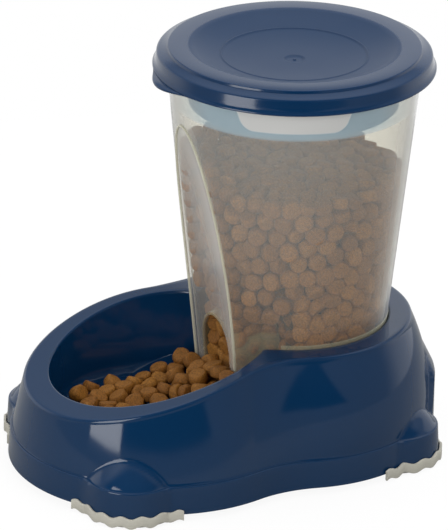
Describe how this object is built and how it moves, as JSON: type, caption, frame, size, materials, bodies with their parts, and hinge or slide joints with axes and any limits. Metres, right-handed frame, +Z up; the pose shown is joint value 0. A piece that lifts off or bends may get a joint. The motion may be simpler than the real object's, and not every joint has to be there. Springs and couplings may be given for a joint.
{
  "type": "automatic pet feeder",
  "caption": "Gravity pet feeder: open bowl in a twin-lobed base, tapering translucent hopper with an arched outlet, press-on lid and rubber foot strips",
  "frame": {"origin": "middle of the footprint, on the surface that the rubber feet stand on", "axes": "+Z up; -Y is the front, where the bowl is; +X is to the right, seen from the front"},
  "size_m": [0.2066, 0.3013, 0.2876],
  "materials": {
    "base": "glossy moulded navy polypropylene",
    "lid": "satin moulded navy polypropylene",
    "hopper": "natural polypropylene, see-through with a milky haze",
    "feet": "warm grey thermoplastic rubber, matt"
  },
  "bodies": {
    "base": {"base_shell": "base", "foot_front_left": "feet", "foot_front_right": "feet", "foot_rear_left": "feet", "foot_rear_right": "feet"},
    "hopper": {"hopper": "hopper"},
    "lid": {"lid": "lid"}
  },
  "joints": [
    {"name": "hopper_lift", "type": "slide", "parent": "base", "child": "hopper", "axis": [0, 0, 1], "range_m": [0, 0.25]},
    {"name": "lid_lift", "type": "slide", "parent": "hopper", "child": "lid", "axis": [0, 0, 1], "range_m": [0, 0.12]}
  ]
}
